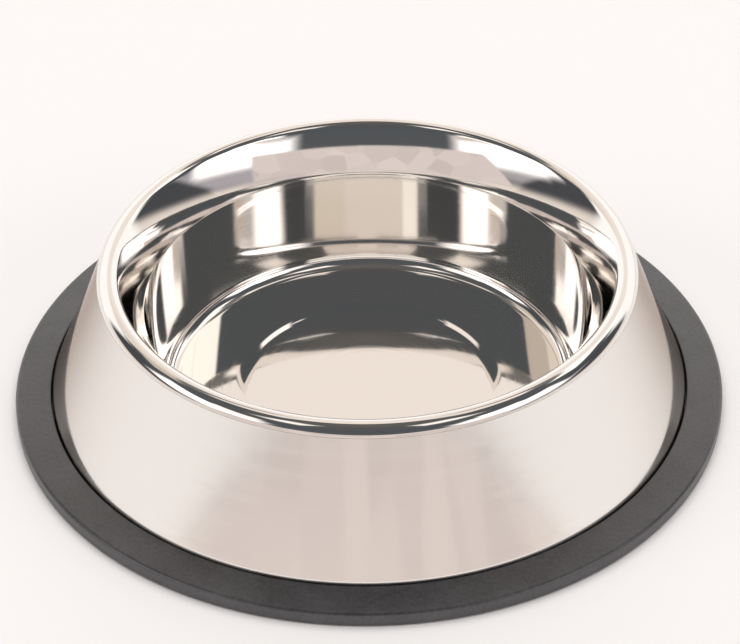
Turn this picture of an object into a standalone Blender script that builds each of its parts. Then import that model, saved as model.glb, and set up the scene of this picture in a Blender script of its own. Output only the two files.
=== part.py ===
"""Metal cat bowl: a pressed steel cup in a flared steel skirt that stands in a rubber ring."""

import math

import bmesh
import bpy

MM = 0.001
SEGMENTS = 72

# Sheet steel of the cup and the skirt, in millimetres
SHEET = 0.5

# Inner bowl
DISC_R = 24.8
DISC_Z = 1.6
STEP_W = 3.6
FLOOR_Z = 1.3
CORNER_R = 3.0
DRAFT_DEG = 9.0
BEND_R = 3.0
FLARE_R = 35.0
FLARE_FOOT_DEG = 19.8
FLARE_TOP_DEG = 36.5
BEAD_CENTRE = (53.35, 31.4)
BEAD_R = 2.15
ROLL_R = 3.3
ROLL_START_DEG = 70.0
ROLL_END_DEG = 26.0

# Outer skirt
SKIRT_TOP_DEG = 20.0
SKIRT_FOOT = (67.2, 4.0)
HEM_BOTTOM_Z = 1.2

# Rubber ring
RING_R = 75.0
RING_INNER_R = 64.5
RING_TOP_Z = 4.0
RING_SIDE_Z = 3.3
RING_LIP_Z = 3.0
RING_EDGE_R = 0.8
GROOVE_GAP = 0.3

STEEL = (0.80, 0.75, 0.71)
RUBBER = (0.045, 0.046, 0.049)


def arc(centre, radius, start_deg, end_deg, parts):
    """Points on an arc in the radius and height plane, both ends included."""
    points = []
    for i in range(parts + 1):
        angle = math.radians(start_deg + (end_deg - start_deg) * i / parts)
        points.append((centre[0] + radius * math.cos(angle), centre[1] + radius * math.sin(angle)))
    return points


def outward(centre, distance, tilt_deg):
    """Point at a distance from a centre, square to a wall that leans outward by a tilt."""
    tilt = math.radians(tilt_deg)
    return (centre[0] + distance * math.cos(tilt), centre[1] - distance * math.sin(tilt))


def roll_centre():
    """Centre of the wider arc on which the rim rolls over to meet the skirt."""
    return outward(BEAD_CENTRE, BEAD_R - ROLL_R, -ROLL_START_DEG)


def bowl_profile():
    """Inside of the cup from the axis to the rim's rolled end, then back along the outside."""
    drop = DISC_Z - FLOOR_Z
    bend_deg = math.degrees(2 * math.atan(drop / STEP_W))
    bend_r = STEP_W / (2 * math.sin(math.radians(bend_deg)))
    crest = (DISC_R, DISC_Z - bend_r)
    trough = (DISC_R + STEP_W, FLOOR_Z + bend_r)
    roll = roll_centre()
    flare = outward(BEAD_CENTRE, FLARE_R - BEAD_R, FLARE_TOP_DEG)
    shoulder = outward(flare, BEND_R - FLARE_R, FLARE_FOOT_DEG)
    wall_top = outward(shoulder, -BEND_R, DRAFT_DEG)
    corner_z = FLOOR_Z + CORNER_R
    wall_fall = wall_top[1] - outward((0.0, corner_z), CORNER_R, DRAFT_DEG)[1]
    foot_r = wall_top[0] - wall_fall * math.tan(math.radians(DRAFT_DEG))
    corner = (outward((foot_r, 0.0), -CORNER_R, DRAFT_DEG)[0], corner_z)

    inside = [(0.0, DISC_Z)]
    inside += arc(crest, bend_r, 90, 90 - bend_deg, 2)
    inside += arc(trough, bend_r, 270 - bend_deg, 270, 2)[1:]
    inside += arc(corner, CORNER_R, -90, -DRAFT_DEG, 6)
    inside += arc(shoulder, BEND_R, 180 - DRAFT_DEG, 180 - FLARE_FOOT_DEG, 2)
    inside += arc(flare, FLARE_R, 180 - FLARE_FOOT_DEG, 180 - FLARE_TOP_DEG, 4)[1:]
    inside += arc(BEAD_CENTRE, BEAD_R, 180 - FLARE_TOP_DEG, 90, 4)[1:]
    inside += arc(BEAD_CENTRE, BEAD_R, 90, ROLL_START_DEG, 2)[1:]
    inside += arc(roll, ROLL_R, ROLL_START_DEG, ROLL_END_DEG, 5)[1:]

    outside = arc(roll, ROLL_R - SHEET, ROLL_END_DEG, ROLL_START_DEG, 5)
    outside += arc(BEAD_CENTRE, BEAD_R - SHEET, ROLL_START_DEG, 90, 2)[1:]
    outside += arc(BEAD_CENTRE, BEAD_R - SHEET, 90, 180 - FLARE_TOP_DEG, 4)[1:]
    outside += arc(flare, FLARE_R - SHEET, 180 - FLARE_TOP_DEG, 180 - FLARE_FOOT_DEG, 4)[1:]
    outside += arc(shoulder, BEND_R - SHEET, 180 - FLARE_FOOT_DEG, 180 - DRAFT_DEG, 2)[1:]
    outside += arc(corner, CORNER_R + SHEET, -DRAFT_DEG, -90, 6)
    outside += arc(trough, bend_r + SHEET, 270, 270 - bend_deg, 2)
    outside += arc(crest, bend_r - SHEET, 90 - bend_deg, 90, 2)[1:]
    outside += [(0.0, DISC_Z - SHEET)]
    return inside + outside


def skirt_profile():
    """Outer side in one slightly hollow sweep from the rim to the hem, then back up the inner side."""
    top = outward(roll_centre(), ROLL_R, -SKIRT_TOP_DEG)
    run = SKIRT_FOOT[0] - top[0]
    fall = top[1] - SKIRT_FOOT[1]
    half_turn_deg = math.degrees(math.atan2(run, fall)) - SKIRT_TOP_DEG
    foot_deg = SKIRT_TOP_DEG + 2 * half_turn_deg
    sweep_r = math.hypot(run, fall) / (2 * math.sin(math.radians(half_turn_deg)))
    centre = outward(SKIRT_FOOT, sweep_r, -foot_deg)
    hem_inner = SKIRT_FOOT[0] - SHEET
    hem_deg = math.degrees(math.acos((centre[0] - hem_inner) / (sweep_r + SHEET)))
    points = arc(centre, sweep_r, 180 + SKIRT_TOP_DEG, 180 + foot_deg, 8)
    points += [(SKIRT_FOOT[0], HEM_BOTTOM_Z), (hem_inner, HEM_BOTTOM_Z)]
    points += arc(centre, sweep_r + SHEET, 180 + hem_deg, 180 + SKIRT_TOP_DEG, 8)
    return points


def ring_profile():
    """Top slope and outer side down, flat underside, inner lip and the groove for the hem."""
    groove_outer = SKIRT_FOOT[0] + GROOVE_GAP
    groove_inner = SKIRT_FOOT[0] - SHEET - GROOVE_GAP
    groove_z = HEM_BOTTOM_Z - GROOVE_GAP
    edge = RING_EDGE_R
    points = [(groove_outer, groove_z), (groove_outer, RING_TOP_Z - 0.3)]
    points += [(groove_outer + 0.3, RING_TOP_Z)]
    points += arc((RING_R - edge, RING_SIDE_Z - edge), edge, 84, 0, 3)
    points += arc((RING_R - edge, edge), edge, 0, -90, 3)
    points += arc((RING_INNER_R + edge, edge), edge, -90, -180, 3)
    points += arc((RING_INNER_R + edge, RING_LIP_Z - edge), edge, 180, 90, 3)
    points += [(groove_inner, RING_LIP_Z), (groove_inner, groove_z)]
    return points


def material(name, colour, roughness, metallic):
    made = bpy.data.materials.new(name)
    made.use_nodes = True
    shader = made.node_tree.nodes["Principled BSDF"]
    shader.inputs["Base Color"].default_value = (*colour, 1.0)
    shader.inputs["Roughness"].default_value = roughness
    shader.inputs["Metallic"].default_value = metallic
    return made


def turned(name, profile, closed, surface):
    """One object turned about the vertical axis from a profile of (radius, height) points."""
    shape = bmesh.new()
    points = [shape.verts.new((r * MM, 0.0, z * MM)) for r, z in profile]
    pairs = list(zip(points, points[1:]))
    if closed:
        pairs.append((points[-1], points[0]))
    edges = [shape.edges.new(pair) for pair in pairs]
    bmesh.ops.spin(
        shape,
        geom=points + edges,
        cent=(0.0, 0.0, 0.0),
        axis=(0.0, 0.0, 1.0),
        angle=2 * math.pi,
        steps=SEGMENTS,
        use_merge=True,
    )
    bmesh.ops.remove_doubles(shape, verts=shape.verts, dist=0.00001)
    bmesh.ops.recalc_face_normals(shape, faces=shape.faces)
    mesh = bpy.data.meshes.new(name)
    shape.to_mesh(mesh)
    shape.free()
    mesh.shade_smooth()
    mesh.set_sharp_from_angle(angle=math.radians(30))
    mesh.materials.append(surface)
    piece = bpy.data.objects.new(name, mesh)
    bpy.context.collection.objects.link(piece)
    return piece


for old in list(bpy.data.objects):
    bpy.data.objects.remove(old)

polished = material("polished_steel", STEEL, 0.12, 1.0)
satin = material("satin_steel", STEEL, 0.25, 1.0)
rubber = material("black_rubber", RUBBER, 0.75, 0.0)

turned("inner_bowl", bowl_profile(), False, polished)
turned("outer_skirt", skirt_profile(), True, satin)
turned("rubber_ring", ring_profile(), True, rubber)
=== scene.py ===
"""Metal cat bowl: the looks of the pressed cup, the flared skirt and the rubber ring, in a small studio."""

import math

import bmesh
import bpy
from mathutils import Matrix, Vector


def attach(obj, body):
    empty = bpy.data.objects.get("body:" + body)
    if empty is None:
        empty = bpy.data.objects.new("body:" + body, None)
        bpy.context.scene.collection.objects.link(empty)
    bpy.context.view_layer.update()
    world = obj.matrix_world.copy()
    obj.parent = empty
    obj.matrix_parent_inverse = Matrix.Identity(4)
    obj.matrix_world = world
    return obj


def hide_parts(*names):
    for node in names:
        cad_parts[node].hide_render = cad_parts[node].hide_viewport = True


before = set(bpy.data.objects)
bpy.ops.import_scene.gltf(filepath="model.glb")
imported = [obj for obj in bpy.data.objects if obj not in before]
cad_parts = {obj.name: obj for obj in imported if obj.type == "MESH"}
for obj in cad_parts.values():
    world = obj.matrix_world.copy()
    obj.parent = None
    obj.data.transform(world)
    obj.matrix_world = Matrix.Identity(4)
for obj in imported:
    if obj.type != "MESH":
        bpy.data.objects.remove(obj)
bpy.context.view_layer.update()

MM = 0.001

# Sheet steel of the cup and the skirt, in millimetres as all the sizes of the bowl
SHEET = 0.5

# Cup
DISC_R = 24.8
DISC_Z = 1.6
STEP_W = 3.6
FLOOR_Z = 1.3
CORNER_R = 3.0
DRAFT_DEG = 9.0
BEND_R = 3.0
FLARE_R = 35.0
FLARE_FOOT_DEG = 19.8
FLARE_TOP_DEG = 36.5
BEAD_CENTRE = (53.35, 31.4)
BEAD_R = 2.15
ROLL_R = 3.3
ROLL_START_DEG = 70.0
ROLL_END_DEG = 20.8

# Skirt
SKIRT_TOP_DEG = 20.0
SKIRT_FOOT = (67.2, 4.0)
HEM_BOTTOM_Z = 1.2

# Rubber ring
RING_R = 75.0
RING_INNER_R = 64.5
RING_TOP_Z = 4.0
RING_SIDE_Z = 3.3
RING_LIP_Z = 3.0
RING_EDGE_R = 0.8
RING_CREST_R = 0.3
RING_SLOPE_DEG = 6.0
GROOVE_GAP = 0.3

# Rows beside a bend, on a straight run of the sheet and on the ring's top, and the gap below which two
# points of a profile are one
SHEET_MARGIN = 0.3
RING_MARGIN = 0.2
SAME_POINT = 1e-6

# Turned pieces: faces around the axis, the angle from which an edge stays sharp, and in metres the gap that
# is merged and the length below which an edge is dissolved
TURN_SEGMENTS = 256
CREASE_DEG = 35.0
MERGE_M = 1e-6
SLIVER_M = 1e-8

# Steel, and the tint that darkens the skirt's steel at low angles: painted shade, in place of the shaded
# floor beside the ring that the skirt mirrors
STEEL = "#f0ede9"
LOW_ANGLE_SHADE_TINT = "#bfb5af"

# Rubber: its darkest and palest tone, the width of its grain, about 0.7, and of the patches of bloom, about
# 8, the share of the bloom in the tone and the depth of the grain
RUBBER_DARK = "#222325"
RUBBER_PALE = "#3a3a3d"
GRAIN_MM = 5 / 7
BLOOM_MM = 25 / 3
BLOOM_SHARE = 0.6
GRAIN_DEPTH = 0.06

# Floor and lamp, in metres and watts
FLOOR_R = 4.0
FLOOR_SEGMENTS = 96
LAMP_SIZE = 2.4
LAMP_HEIGHT = 1.8
LAMP_POWER = 25.0

# Camera, in pixels of the 740 by 644 frame and millimetres, with its clipping in metres
FRAME_W = 740
FOCAL_PX = 2900.0
SENSOR_MM = 36.0
EYE_DISTANCE = 608.0
EYE_ELEVATION_DEG = 36.75
EYE_ROLL_DEG = -0.79
AIM_HEIGHT = 20.0
AIM_OFFSET_PX = (2.1, -10.0)
CLIP_M = (0.01, 20.0)


def linear(hex_colour):
    """Linear RGBA of an sRGB hex colour."""
    channels = [int(hex_colour[i : i + 2], 16) / 255 for i in (1, 3, 5)]
    return (*(c / 12.92 if c <= 0.04045 else ((c + 0.055) / 1.055) ** 2.4 for c in channels), 1.0)


def add(tree, kind, inputs=None, **settings):
    """Adds a node: settings are its properties, inputs its sockets' values or the sockets that feed them."""
    node = tree.nodes.new(kind)
    for name, value in settings.items():
        setattr(node, name, value)
    for key, value in (inputs or {}).items():
        if isinstance(value, bpy.types.NodeSocket):
            tree.links.new(value, node.inputs[key])
        else:
            node.inputs[key].default_value = value
    return node


def arc(centre, radius, start_deg, end_deg, parts):
    """Points on an arc in the radius and height plane, both ends included."""
    angles = [math.radians(start_deg + (end_deg - start_deg) * i / parts) for i in range(parts + 1)]
    return [(centre[0] + radius * math.cos(a), centre[1] + radius * math.sin(a)) for a in angles]


def outward(centre, distance, tilt_deg):
    """Point at a distance from a centre, square to a wall that leans outward by a tilt."""
    tilt = math.radians(tilt_deg)
    return (centre[0] + distance * math.cos(tilt), centre[1] - distance * math.sin(tilt))


def straight(start, end, margin, parts):
    """Points on a straight run, with a row close to each end that keeps the shading of the bends off it."""
    length = math.dist(start, end)
    places = [0.0, margin / length]
    places += [margin / length + (1 - 2 * margin / length) * i / parts for i in range(1, parts)]
    places += [1 - margin / length, 1.0]
    return [tuple(a + (b - a) * t for a, b in zip(start, end)) for t in places]


def joined(*runs):
    """One polyline from runs of points, with repeated points left out."""
    points = []
    for run in runs:
        for point in run:
            if not points or math.dist(points[-1], point) > SAME_POINT:
                points.append(point)
    return points


def roll_centre():
    """Centre of the wider arc on which the rim rolls over to meet the skirt."""
    return outward(BEAD_CENTRE, BEAD_R - ROLL_R, -ROLL_START_DEG)


def cup_profile():
    """Inside of the cup from the axis to the rim's rolled end, then back along the outside."""
    drop = DISC_Z - FLOOR_Z
    bend_deg = math.degrees(2 * math.atan(drop / STEP_W))
    bend_r = STEP_W / (2 * math.sin(math.radians(bend_deg)))
    crest = (DISC_R, DISC_Z - bend_r)
    trough = (DISC_R + STEP_W, FLOOR_Z + bend_r)
    roll = roll_centre()
    flare = outward(BEAD_CENTRE, FLARE_R - BEAD_R, FLARE_TOP_DEG)
    shoulder = outward(flare, BEND_R - FLARE_R, FLARE_FOOT_DEG)
    wall_top = outward(shoulder, -BEND_R, DRAFT_DEG)
    corner_z = FLOOR_Z + CORNER_R
    wall_fall = wall_top[1] - outward((0.0, corner_z), CORNER_R, DRAFT_DEG)[1]
    foot_r = wall_top[0] - wall_fall * math.tan(math.radians(DRAFT_DEG))
    corner = (outward((foot_r, 0.0), -CORNER_R, DRAFT_DEG)[0], corner_z)

    step_down = joined(
        arc(crest, bend_r, 90, 90 - bend_deg, 10),
        arc(trough, bend_r, 270 - bend_deg, 270, 10),
    )
    corner_in = arc(corner, CORNER_R, -90, -DRAFT_DEG, 24)
    bend_in = arc(shoulder, BEND_R, 180 - DRAFT_DEG, 180 - FLARE_FOOT_DEG, 8)
    flare_in = arc(flare, FLARE_R, 180 - FLARE_FOOT_DEG, 180 - FLARE_TOP_DEG, 24)
    bead_in = arc(BEAD_CENTRE, BEAD_R, 180 - FLARE_TOP_DEG, ROLL_START_DEG, 24)
    roll_in = arc(roll, ROLL_R, ROLL_START_DEG, ROLL_END_DEG, 20)
    roll_back = arc(roll, ROLL_R - SHEET, ROLL_END_DEG, ROLL_START_DEG, 12)
    bead_back = arc(BEAD_CENTRE, BEAD_R - SHEET, ROLL_START_DEG, 180 - FLARE_TOP_DEG, 12)
    flare_back = arc(flare, FLARE_R - SHEET, 180 - FLARE_TOP_DEG, 180 - FLARE_FOOT_DEG, 12)
    bend_back = arc(shoulder, BEND_R - SHEET, 180 - FLARE_FOOT_DEG, 180 - DRAFT_DEG, 4)
    corner_out = arc(corner, CORNER_R + SHEET, -DRAFT_DEG, -90, 12)
    step_back = joined(
        arc(trough, bend_r + SHEET, 270, 270 - bend_deg, 6),
        arc(crest, bend_r - SHEET, 90 - bend_deg, 90, 6),
    )
    return joined(
        straight((0.0, DISC_Z), step_down[0], SHEET_MARGIN, 6),
        step_down,
        straight(step_down[-1], corner_in[0], SHEET_MARGIN, 4),
        corner_in,
        straight(corner_in[-1], bend_in[0], SHEET_MARGIN, 8),
        bend_in,
        flare_in,
        bead_in,
        roll_in,
        roll_back,
        bead_back,
        flare_back,
        bend_back,
        straight(bend_back[-1], corner_out[0], SHEET_MARGIN, 4),
        corner_out,
        straight(corner_out[-1], step_back[0], SHEET_MARGIN, 2),
        step_back,
        straight(step_back[-1], (0.0, DISC_Z - SHEET), SHEET_MARGIN, 3),
    )


def skirt_profile():
    """Outer side in one slightly hollow sweep from rim to hem, then back up inside, as a closed loop."""
    top = outward(roll_centre(), ROLL_R, -SKIRT_TOP_DEG)
    run = SKIRT_FOOT[0] - top[0]
    fall = top[1] - SKIRT_FOOT[1]
    half_turn_deg = math.degrees(math.atan2(run, fall)) - SKIRT_TOP_DEG
    foot_deg = SKIRT_TOP_DEG + 2 * half_turn_deg
    sweep_r = math.hypot(run, fall) / (2 * math.sin(math.radians(half_turn_deg)))
    centre = outward(SKIRT_FOOT, sweep_r, -foot_deg)
    hem_inner = SKIRT_FOOT[0] - SHEET
    hem_deg = math.degrees(math.acos((centre[0] - hem_inner) / (sweep_r + SHEET)))
    return joined(
        arc(centre, sweep_r, 180 + SKIRT_TOP_DEG, 180 + foot_deg, 40),
        [(SKIRT_FOOT[0], HEM_BOTTOM_Z), (hem_inner, HEM_BOTTOM_Z)],
        arc(centre, sweep_r + SHEET, 180 + hem_deg, 180 + SKIRT_TOP_DEG, 16),
        [top],
    )


def ring_profile():
    """Top slope and outer side down, flat underside, inner lip and the hem's groove, as a closed loop."""
    groove_outer = SKIRT_FOOT[0] + GROOVE_GAP
    groove_inner = SKIRT_FOOT[0] - SHEET - GROOVE_GAP
    groove_z = HEM_BOTTOM_Z - GROOVE_GAP
    edge = RING_EDGE_R
    start = (groove_outer, groove_z)
    crest_centre = (groove_outer + RING_CREST_R, RING_TOP_Z - RING_CREST_R)
    crest = arc(crest_centre, RING_CREST_R, 180, 90 + RING_SLOPE_DEG, 6)
    shoulder = arc((RING_R - edge, RING_SIDE_Z - edge), edge, 90 - RING_SLOPE_DEG, 0, 8)
    return joined(
        [start],
        crest,
        straight(crest[-1], shoulder[0], RING_MARGIN, 4),
        shoulder,
        arc((RING_R - edge, edge), edge, 0, -90, 8),
        arc((RING_INNER_R + edge, edge), edge, -90, -180, 8),
        arc((RING_INNER_R + edge, RING_LIP_Z - edge), edge, 180, 90, 8),
        [(groove_inner, RING_LIP_Z), (groove_inner, groove_z), start],
    )


def turning_tree():
    """Node tree that turns a profile, given as a row of points, about the vertical axis."""
    tree = bpy.data.node_groups.new("turn_profile", "GeometryNodeTree")
    face = tree.interface
    face.new_socket("Profile", in_out="INPUT", socket_type="NodeSocketGeometry")
    face.new_socket("Profile points", in_out="INPUT", socket_type="NodeSocketInt")
    face.new_socket("Segments", in_out="INPUT", socket_type="NodeSocketInt")
    face.new_socket("Crease angle", in_out="INPUT", socket_type="NodeSocketFloat")
    face.new_socket("Finish", in_out="INPUT", socket_type="NodeSocketMaterial")
    face.new_socket("Turned piece", in_out="OUTPUT", socket_type="NodeSocketGeometry")
    given = tree.nodes.new("NodeGroupInput").outputs

    # A grid with one column for each point of the profile and one row for each step around the axis
    rows = add(tree, "ShaderNodeMath", {0: given["Segments"], 1: 1.0}, operation="ADD").outputs[0]
    grid = add(tree, "GeometryNodeMeshGrid", {"Vertices X": given["Profile points"], "Vertices Y": rows})
    index = add(tree, "GeometryNodeInputIndex").outputs[0]
    along = add(tree, "ShaderNodeMath", {0: index, 1: rows}, operation="DIVIDE").outputs[0]
    along = add(tree, "ShaderNodeMath", {0: along}, operation="FLOOR").outputs[0]
    around = add(tree, "ShaderNodeMath", {0: index, 1: rows}, operation="MODULO").outputs[0]
    turn = add(tree, "ShaderNodeMath", {0: around, 1: given["Segments"]}, operation="DIVIDE").outputs[0]
    turn = add(tree, "ShaderNodeMath", {0: turn, 1: math.tau}, operation="MULTIPLY").outputs[0]

    # Each point of the grid goes to its point of the profile, turned by its step
    place = add(tree, "GeometryNodeInputPosition").outputs[0]
    point = add(
        tree,
        "GeometryNodeSampleIndex",
        {"Geometry": given["Profile"], "Value": place, "Index": along},
        data_type="FLOAT_VECTOR",
        domain="POINT",
    ).outputs[0]
    turned = add(
        tree,
        "ShaderNodeVectorRotate",
        {"Vector": point, "Angle": turn},
        rotation_type="Z_AXIS",
    ).outputs[0]
    shaped = add(tree, "GeometryNodeSetPosition", {"Geometry": grid.outputs["Mesh"], "Position": turned})
    closed = add(tree, "GeometryNodeMergeByDistance", {"Geometry": shaped.outputs[0], "Distance": MERGE_M})

    # Smooth faces, with the sharp edges kept
    smooth = add(tree, "GeometryNodeSetShadeSmooth", {"Geometry": closed.outputs[0]}, domain="FACE")
    angle = add(tree, "GeometryNodeInputMeshEdgeAngle").outputs["Unsigned Angle"]
    soft = add(
        tree,
        "FunctionNodeCompare",
        {0: angle, 1: given["Crease angle"]},
        operation="LESS_THAN",
    ).outputs[0]
    creased = add(
        tree,
        "GeometryNodeSetShadeSmooth",
        {"Geometry": smooth.outputs[0], "Shade Smooth": soft},
        domain="EDGE",
    ).outputs[0]
    real = add(tree, "GeometryNodeRealizeInstances", {"Geometry": creased}).outputs[0]
    finished = add(tree, "GeometryNodeSetMaterial", {"Geometry": real, "Material": given["Finish"]})
    out = tree.nodes.new("NodeGroupOutput")
    tree.links.new(finished.outputs[0], out.inputs[0])
    return tree


def turned_piece(name, profile, finish, tree):
    """A plain mesh object turned from a profile of (radius, height) points in millimetres."""
    row = bpy.data.meshes.new(name + "_profile")
    row.from_pydata([(r * MM, 0.0, z * MM) for r, z in profile], [], [])
    blank = bpy.data.objects.new(name + "_profile", row)
    bpy.context.collection.objects.link(blank)
    modifier = blank.modifiers.new("turn", "NODES")
    modifier.node_group = tree
    values = {
        "Profile points": len(profile),
        "Segments": TURN_SEGMENTS,
        "Crease angle": math.radians(CREASE_DEG),
        "Finish": finish,
    }
    for item in tree.interface.items_tree:
        if item.in_out == "INPUT" and item.name in values:
            modifier[item.identifier] = values[item.name]
    depsgraph = bpy.context.evaluated_depsgraph_get()
    mesh = bpy.data.meshes.new_from_object(blank.evaluated_get(depsgraph), depsgraph=depsgraph)
    bpy.data.objects.remove(blank)
    bpy.data.meshes.remove(row)

    shell = bmesh.new()
    shell.from_mesh(mesh)
    bmesh.ops.dissolve_degenerate(shell, edges=shell.edges, dist=SLIVER_M)
    bmesh.ops.recalc_face_normals(shell, faces=shell.faces)
    shell.to_mesh(mesh)
    shell.free()
    mesh.name = name
    piece = bpy.data.objects.new(name, mesh)
    bpy.context.collection.objects.link(piece)
    return piece


def new_material(name):
    """A material with a Principled shader, its node tree and that shader."""
    made = bpy.data.materials.new(name)
    made.use_nodes = True
    tree = made.node_tree
    return made, tree, tree.nodes["Principled BSDF"]


def place_in_mm(tree):
    """Place of a point on its piece, in millimetres."""
    place = add(tree, "ShaderNodeTexCoord").outputs["Object"]
    return add(tree, "ShaderNodeVectorMath", {0: place, "Scale": 1 / MM}, operation="SCALE").outputs[0]


def polish(tree, shader, line_mm, roughness, wave_mm, wave_height_mm):
    """Fine lines around the axis as a change in gloss, and the shallow waves that buffing leaves in sheet.

    The real lines are some hundredths of a millimetre apart, and are drawn coarser so that they show.
    """
    place = place_in_mm(tree)
    flat = add(tree, "ShaderNodeVectorMath", {0: place, 1: (1.0, 1.0, 0.0)}, operation="MULTIPLY").outputs[0]
    radius = add(tree, "ShaderNodeVectorMath", {0: flat}, operation="LENGTH").outputs["Value"]
    height = add(tree, "ShaderNodeSeparateXYZ", {0: place}).outputs["Z"]
    along = add(tree, "ShaderNodeMath", {0: radius, 1: height}, operation="ADD").outputs[0]
    lines = add(
        tree,
        "ShaderNodeTexNoise",
        {"W": along, "Scale": 1.0 / line_mm, "Detail": 3.0, "Roughness": 0.7},
        noise_dimensions="1D",
    ).outputs[0]
    gloss = add(
        tree,
        "ShaderNodeMapRange",
        {"Value": lines, "From Min": 0.3, "From Max": 0.7, "To Min": roughness[0], "To Max": roughness[1]},
    ).outputs[0]
    tree.links.new(gloss, shader.inputs["Roughness"])
    waves = {"Vector": place, "Scale": 1.0 / wave_mm, "Detail": 1.0}
    waves = add(tree, "ShaderNodeTexNoise", waves).outputs[0]
    bump = {"Height": waves, "Strength": 1.0, "Distance": wave_height_mm * MM}
    bump = add(tree, "ShaderNodeBump", bump).outputs[0]
    tree.links.new(bump, shader.inputs["Normal"])


def mirror_polished_steel():
    """Deep-drawn stainless steel, buffed to a mirror.

    A warm grey, with sharp reflections that waver a little and faint lines around the axis.
    """
    made, tree, shader = new_material("mirror_polished_stainless_steel")
    shader.inputs["Base Color"].default_value = linear(STEEL)
    shader.inputs["Metallic"].default_value = 1.0
    polish(tree, shader, line_mm=0.9, roughness=(0.03, 0.07), wave_mm=24.0, wave_height_mm=0.05)
    return made


def buffed_steel():
    """Spun stainless sheet, buffed along the turn.

    A softer mirror, with faint bands around the axis, that gets darker where it is seen at a low angle:
    painted shade from its tint, in place of the shaded floor beside the ring that it mirrors.
    """
    made, tree, shader = new_material("buffed_stainless_steel")
    shader.inputs["Base Color"].default_value = linear(STEEL)
    shader.inputs["Metallic"].default_value = 1.0
    # Painted shade: the tint darkens the low-angle reflection, in place of the shaded floor beside the ring
    shader.inputs["Specular Tint"].default_value = linear(LOW_ANGLE_SHADE_TINT)
    polish(tree, shader, line_mm=1.6, roughness=(0.07, 0.12), wave_mm=30.0, wave_height_mm=0.08)
    return made


def moulded_rubber():
    """Moulded black rubber.

    Charcoal with a fine mottled grain, patches of greyer bloom and a dull sheen at low angles.
    """
    made, tree, shader = new_material("moulded_black_rubber")
    place = place_in_mm(tree)
    grain = {"Vector": place, "Scale": 1.0 / GRAIN_MM, "Detail": 4.0}
    grain = add(tree, "ShaderNodeTexNoise", grain).outputs[0]
    bloom = {"Vector": place, "Scale": 1.0 / BLOOM_MM, "Detail": 2.0}
    bloom = add(tree, "ShaderNodeTexNoise", bloom).outputs[0]
    tone = add(tree, "ShaderNodeMath", {0: bloom, 1: BLOOM_SHARE, 2: grain}, operation="MULTIPLY_ADD")
    colour = add(tree, "ShaderNodeValToRGB", {"Fac": tone.outputs[0]})
    darkest, palest = colour.color_ramp.elements
    darkest.position = 0.55
    darkest.color = linear(RUBBER_DARK)
    palest.position = 1.0
    palest.color = linear(RUBBER_PALE)
    tree.links.new(colour.outputs[0], shader.inputs["Base Color"])
    gloss = add(tree, "ShaderNodeMapRange", {"Value": grain, "To Min": 0.28, "To Max": 0.42}).outputs[0]
    tree.links.new(gloss, shader.inputs["Roughness"])
    shader.inputs["Specular IOR Level"].default_value = 1.0
    bump = add(tree, "ShaderNodeBump", {"Height": grain, "Strength": 0.6, "Distance": GRAIN_DEPTH * MM})
    tree.links.new(bump.outputs[0], shader.inputs["Normal"])
    return made


def studio_panel_group():
    """One soft-edged panel of light, placed by azimuth and elevation in degrees, over what is behind it."""
    tree = bpy.data.node_groups.new("studio_panel", "ShaderNodeTree")
    face = tree.interface
    face.new_socket("Behind", in_out="INPUT", socket_type="NodeSocketColor")
    face.new_socket("Panel", in_out="INPUT", socket_type="NodeSocketColor")
    for name in ("Azimuth", "Elevation", *PANEL_SIZES):
        face.new_socket(name, in_out="INPUT", socket_type="NodeSocketFloat")
    face.new_socket("Light", in_out="OUTPUT", socket_type="NodeSocketColor")
    given = tree.nodes.new("NodeGroupInput").outputs

    # How far inside the panel's edges a direction is, as a share of their softness
    above = {0: given["Elevation"], 1: given["Low"]}
    above = add(tree, "ShaderNodeMath", above, operation="SUBTRACT").outputs[0]
    below = {0: given["High"], 1: given["Elevation"]}
    below = add(tree, "ShaderNodeMath", below, operation="SUBTRACT").outputs[0]
    middle = {0: above, 1: given["Lean"], 2: given["Middle"]}
    middle = add(tree, "ShaderNodeMath", middle, operation="MULTIPLY_ADD").outputs[0]
    aside = add(tree, "ShaderNodeMath", {0: given["Azimuth"], 1: middle}, operation="SUBTRACT").outputs[0]
    aside = add(tree, "ShaderNodeMath", {0: aside, 1: -180.0, 2: 180.0}, operation="WRAP").outputs[0]
    aside = add(tree, "ShaderNodeMath", {0: aside}, operation="ABSOLUTE").outputs[0]
    inside = {0: given["Half width"], 1: aside}
    inside = add(tree, "ShaderNodeMath", inside, operation="SUBTRACT").outputs[0]
    inside = add(tree, "ShaderNodeMath", {0: inside, 1: given["Fade"]}, operation="DIVIDE").outputs[0]
    depth = add(tree, "ShaderNodeMath", {0: above, 1: below}, operation="MINIMUM").outputs[0]
    depth = add(tree, "ShaderNodeMath", {0: depth, 1: given["Softness"]}, operation="DIVIDE").outputs[0]
    depth = add(tree, "ShaderNodeMath", {0: depth, 1: inside}, operation="MINIMUM").outputs[0]
    cover = add(
        tree,
        "ShaderNodeMapRange",
        {"Value": depth, "From Min": -1.0, "From Max": 1.0},
        interpolation_type="SMOOTHSTEP",
    ).outputs[0]
    light = add(
        tree,
        "ShaderNodeMix",
        {"Factor": cover, 6: given["Behind"], 7: given["Panel"]},
        data_type="RGBA",
    ).outputs[2]
    out = tree.nodes.new("NodeGroupOutput")
    tree.links.new(light, out.inputs[0])
    return tree


# Light of the studio's walls by elevation in degrees: a pale foot, then dim walls up to the ceiling
WALL_LIGHT = [
    (-10, (0.90, 0.80, 0.73)),
    (7, (0.90, 0.80, 0.73)),
    (11, (0.11, 0.115, 0.125)),
    (45, (0.09, 0.10, 0.11)),
    (75, (0.11, 0.11, 0.11)),
    (90, (0.15, 0.14, 0.13)),
]

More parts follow.
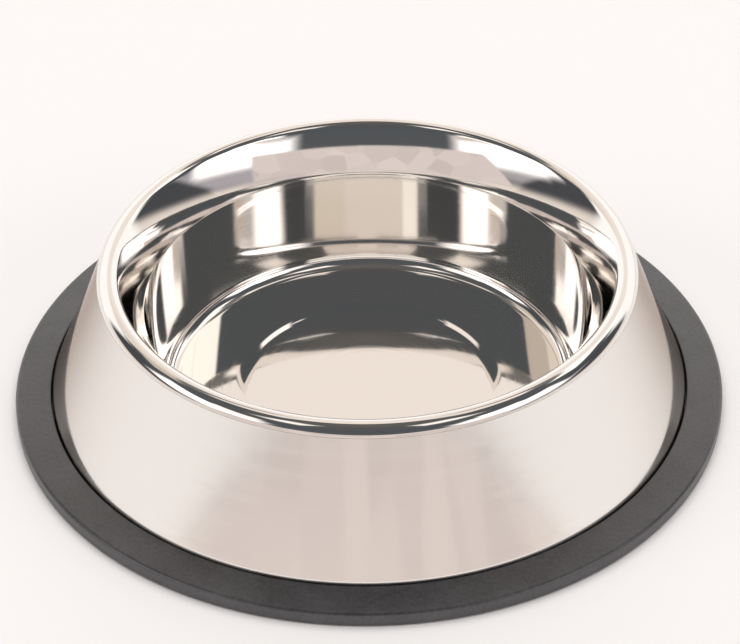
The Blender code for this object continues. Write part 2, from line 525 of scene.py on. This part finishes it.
# Light of the panels
DARK_CARD = (0.072, 0.075, 0.082)
SOFTBOX = (2.2, 2.1, 2.1)
STRIP_LIGHT = (1.9, 1.8, 1.8)
HIGH_BOX = (1.3, 1.2, 1.15)
PALE_WALL = (0.976, 0.878, 0.818)
DARK_BEAM = (0.2, 0.19, 0.18)

# The backdrop's facets, as creases leave them: their mean, darkest and palest light, and how many of them
# go side by side on the unit sphere of directions
BACKDROP = (0.74, 0.65, 0.62)
FACET_LIGHT = (0.88, 1.14)
FACET_SCALE = 5.0

# Panels of the studio, from the back one to the front one, in degrees: azimuth of the middle (0 behind the
# bowl, right positive), half width, fade of the sides, lean in azimuth for each degree of height, low and
# high elevation, and softness of the top and bottom. The last value is the panel's light.
PANEL_SIZES = ("Middle", "Half width", "Fade", "Lean", "Low", "High", "Softness")
PANELS = [
    # Dark sides, the backdrop's foot in front, and grey cards that lean beside it
    (80, 22, 5, 0, 8, 36, 4, DARK_CARD),
    (-80, 22, 5, 0, 8, 36, 4, DARK_CARD),
    (180, 58, 10, 0, -30, 9, 10, BACKDROP),
    (127, 20, 4, -1.5, 8, 24, 4, (0.46, 0.43, 0.46)),
    (-124, 20, 4, 1.6, 11, 24, 4, (0.44, 0.42, 0.43)),
    # Softboxes at the front corners, each of two panels
    (122, 22, 7, 0, 20, 33, 5, SOFTBOX),
    (112, 15, 6, 0, 21, 39, 4, SOFTBOX),
    (-114, 21, 7, 0, 20, 33, 5, SOFTBOX),
    (-100, 15, 6, 0, 21, 39, 4, SOFTBOX),
    # Warm gaps, strip lights and boxes above the softboxes
    (132, 6, 3, 0, 33.5, 35.5, 1.2, (0.78, 0.68, 0.62)),
    (-132, 5, 3, 0, 33, 35.5, 1.2, (0.72, 0.62, 0.55)),
    (126, 13, 4, 0, 36, 39, 0.8, STRIP_LIGHT),
    (-119, 15, 4, 0, 36, 39, 0.8, STRIP_LIGHT),
    (120, 11, 2, 0, 38, 45, 1.5, (1.5, 1.45, 1.4)),
    (-119, 12, 2, 0, 38, 45, 1.5, (1.2, 1.1, 1.05)),
    (130, 18, 4, 0, 61, 72, 4, HIGH_BOX),
    (-125, 15, 4, 0, 61, 72, 4, HIGH_BOX),
    # Backdrop in front of the bowl, its right and its left part
    (167.5, 42.5, 1, 0, 8, 25.5, 1, BACKDROP),
    (-137, 30, 1, -0.94, 8, 25.5, 1, BACKDROP),
    # Pale wall behind the bowl, its shaded left and lit right part, and the boxes beside it
    (4, 55, 2, 0, 60, 73, 2, PALE_WALL),
    (0, 51, 2, 0, -20, 73, 2, PALE_WALL),
    (-36, 15, 5, 0, -20, 60, 5, (0.886, 0.79, 0.69)),
    (43, 7, 1.5, 0, -20, 62, 1.5, (1.38, 1.31, 1.22)),
    (62, 12, 1.5, 0, 42, 53, 1.5, (1.35, 1.3, 1.22)),
    (-56, 11, 1.5, 0, 42, 53, 1.5, (0.64, 0.56, 0.48)),
    # Dark beams across that wall, and its white foot
    (36, 25, 1.5, 0, 53.5, 60, 1.5, DARK_BEAM),
    (-36, 25, 1.5, 0, 53.5, 60, 1.5, DARK_BEAM),
    (0, 58, 4, 0, -25, 33, 3, (1.15, 1.12, 1.1)),
]


def build_studio():
    """World with the studio's walls and its pale, bright and dark panels, which the steel mirrors."""
    world = bpy.data.worlds.new("studio")
    bpy.context.scene.world = world
    world.use_nodes = True
    tree = world.node_tree
    tree.nodes.clear()
    place = add(tree, "ShaderNodeTexCoord").outputs["Generated"]
    parts = add(tree, "ShaderNodeSeparateXYZ", {0: place}).outputs
    azimuth = add(tree, "ShaderNodeMath", {0: parts["X"], 1: parts["Y"]}, operation="ARCTAN2").outputs[0]
    azimuth = add(tree, "ShaderNodeMath", {0: azimuth}, operation="DEGREES").outputs[0]
    elevation = add(tree, "ShaderNodeMath", {0: parts["Z"]}, operation="ARCSINE").outputs[0]
    elevation = add(tree, "ShaderNodeMath", {0: elevation}, operation="DEGREES").outputs[0]

    lowest, highest = WALL_LIGHT[0][0], WALL_LIGHT[-1][0]
    height = {"Value": elevation, "From Min": float(lowest), "From Max": float(highest)}
    height = add(tree, "ShaderNodeMapRange", height).outputs[0]
    walls = add(tree, "ShaderNodeValToRGB", {"Fac": height})
    stops = walls.color_ramp.elements
    while len(stops) < len(WALL_LIGHT):
        stops.new(0.5)
    for stop, (degrees, colour) in zip(stops, WALL_LIGHT):
        stop.position = (degrees - lowest) / (highest - lowest)
        stop.color = (*colour, 1.0)

    facets = add(tree, "ShaderNodeTexVoronoi", {"Vector": place, "Scale": FACET_SCALE}).outputs["Color"]
    darkest, palest = ((*(share * c for c in BACKDROP), 1.0) for share in FACET_LIGHT)
    backdrop = {"Factor": facets, 6: darkest, 7: palest}
    backdrop = add(tree, "ShaderNodeMix", backdrop, data_type="RGBA").outputs[2]

    light = walls.outputs["Color"]
    group = studio_panel_group()
    for *sizes, colour in PANELS:
        values = {name: float(size) for name, size in zip(PANEL_SIZES, sizes)}
        values["Azimuth"] = azimuth
        values["Elevation"] = elevation
        values["Behind"] = light
        values["Panel"] = backdrop if colour is BACKDROP else (*colour, 1.0)
        light = add(tree, "ShaderNodeGroup", values, node_tree=group).outputs["Light"]
    sky = add(tree, "ShaderNodeBackground", {"Color": light, "Strength": 1.0})
    add(tree, "ShaderNodeOutputWorld", {"Surface": sky.outputs[0]})


def build_floor():
    """Large round sheet of pale matt paper under the bowl, the same for the camera and for the steel."""
    mesh = bpy.data.meshes.new("paper_floor")
    sheet = bmesh.new()
    bmesh.ops.create_circle(sheet, cap_ends=True, segments=FLOOR_SEGMENTS, radius=FLOOR_R)
    sheet.to_mesh(mesh)
    sheet.free()
    floor = bpy.data.objects.new("paper_floor", mesh)
    bpy.context.collection.objects.link(floor)
    paper, _, shader = new_material("pale_studio_paper")
    shader.inputs["Base Color"].default_value = linear("#f1efee")
    shader.inputs["Roughness"].default_value = 0.9
    shader.inputs["Specular IOR Level"].default_value = 0.0
    mesh.materials.append(paper)


def build_lamp():
    """Wide round lamp above, for the floor and the rubber: the steel mirrors the panels in its place."""
    lamp = bpy.data.lights.new("overhead", "AREA")
    lamp.shape = "DISK"
    lamp.size = LAMP_SIZE
    lamp.energy = LAMP_POWER
    hung = bpy.data.objects.new("overhead", lamp)
    hung.location = (0.0, 0.0, LAMP_HEIGHT)
    hung.visible_glossy = False
    bpy.context.collection.objects.link(hung)


def build_camera():
    """Camera at the photograph's viewing angle, aimed a little off the axis in place of a lens shift."""
    lens = bpy.data.cameras.new("view")
    lens.sensor_width = SENSOR_MM
    lens.sensor_fit = "HORIZONTAL"
    lens.lens = FOCAL_PX * SENSOR_MM / FRAME_W
    lens.clip_start, lens.clip_end = CLIP_M
    elevation = math.radians(EYE_ELEVATION_DEG)
    roll = math.radians(EYE_ROLL_DEG)
    ahead = Vector((0.0, math.cos(elevation), -math.sin(elevation)))
    right = Vector((1.0, 0.0, 0.0))
    up = Vector((0.0, math.sin(elevation), math.cos(elevation)))
    turned_right = right * math.cos(roll) + up * math.sin(roll)
    turned_up = up * math.cos(roll) - right * math.sin(roll)
    eye = Vector((0.0, 0.0, AIM_HEIGHT * MM)) - ahead * EYE_DISTANCE * MM
    aim_right, aim_up = AIM_OFFSET_PX
    axis = (ahead * FOCAL_PX + turned_right * aim_right + turned_up * aim_up).normalized()
    side = axis.cross(turned_up).normalized()
    top = side.cross(axis)
    turn = Matrix((side, top, -axis)).transposed().to_4x4()
    camera = bpy.data.objects.new("view", lens)
    camera.matrix_world = Matrix.Translation(eye) @ turn
    bpy.context.collection.objects.link(camera)
    bpy.context.scene.camera = camera


bpy.context.scene.view_settings.view_transform = "Standard"

turning = turning_tree()

cup = turned_piece("pressed_cup", cup_profile(), mirror_polished_steel(), turning)
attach(cup, "bowl")
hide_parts("inner_bowl")

skirt = turned_piece("flared_skirt", skirt_profile(), buffed_steel(), turning)
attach(skirt, "bowl")
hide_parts("outer_skirt")

ring = turned_piece("grip_ring", ring_profile(), moulded_rubber(), turning)
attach(ring, "ring")
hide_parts("rubber_ring")

build_studio()
build_floor()
build_lamp()
build_camera()
